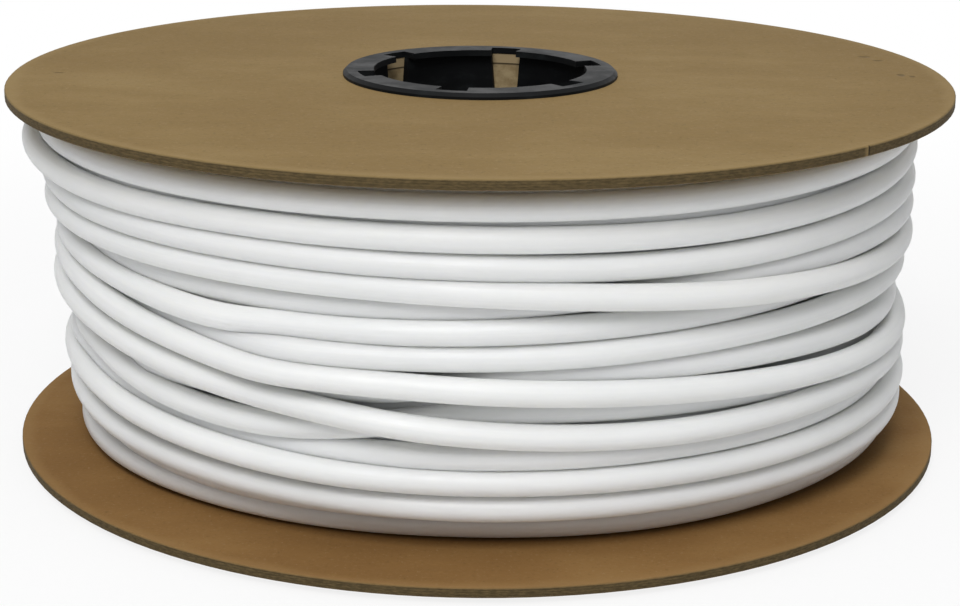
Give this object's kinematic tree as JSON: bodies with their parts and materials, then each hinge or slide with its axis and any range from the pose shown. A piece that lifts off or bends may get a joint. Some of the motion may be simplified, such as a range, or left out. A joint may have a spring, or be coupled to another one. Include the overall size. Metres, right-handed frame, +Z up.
{
  "type": "reel of polyethylene tubing",
  "caption": "Round cardboard reel wound with semi-clear white polyethylene tubing, lying flat, with a slotted black plastic hub in each flange.",
  "frame": {"origin": "centre of the lower hub's rim, on the plane the reel stands on", "axes": "+Z up along the reel's axis, +X to the right and -Y towards the front"},
  "size_m": [0.3809, 0.381, 0.153],
  "materials": {
    "tubing": "milky, semi-clear, satin",
    "cardboard": "plain brown chipboard, speckled, with worn edges",
    "core_board": "wound brown board",
    "hub_plastic": "black moulded plastic, satin"
  },
  "bodies": {
    "root": {"tubing_coil": "tubing", "upper_flange": "cardboard", "lower_flange": "cardboard", "core_tube": "core_board", "upper_hub": "hub_plastic", "lower_hub": "hub_plastic"}
  },
  "joints": []
}
